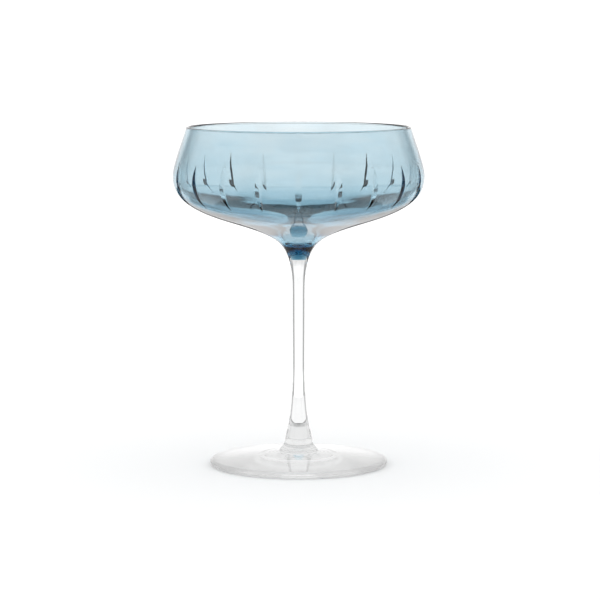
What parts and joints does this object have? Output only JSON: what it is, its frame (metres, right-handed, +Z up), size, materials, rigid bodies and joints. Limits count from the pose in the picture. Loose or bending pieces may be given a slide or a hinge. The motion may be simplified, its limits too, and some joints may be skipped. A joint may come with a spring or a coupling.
{
  "type": "stemmed cocktail glass",
  "caption": "Broad, shallow stemmed cocktail glass: a rounded blue bowl in clear casing with upright wheel-cut flutes, a drawn clear stem and a round clear foot.",
  "frame": {"origin": "on the glass axis, in the plane the foot stands on", "axes": "+Z up along the glass axis, from the foot to the rim; one wheel cut faces -Y"},
  "size_m": [0.1114, 0.1114, 0.151],
  "materials": {
    "blue_glass": "transparent grey-blue glass, polished",
    "casing_glass": "clear glass, polished, with polished wheel cuts",
    "stem_glass": "clear glass, fire-polished",
    "foot_glass": "clear glass, fire-polished"
  },
  "bodies": {
    "root": {"bowl_lining": "blue_glass", "bowl_casing": "casing_glass", "stem": "stem_glass", "foot": "foot_glass"}
  },
  "joints": []
}
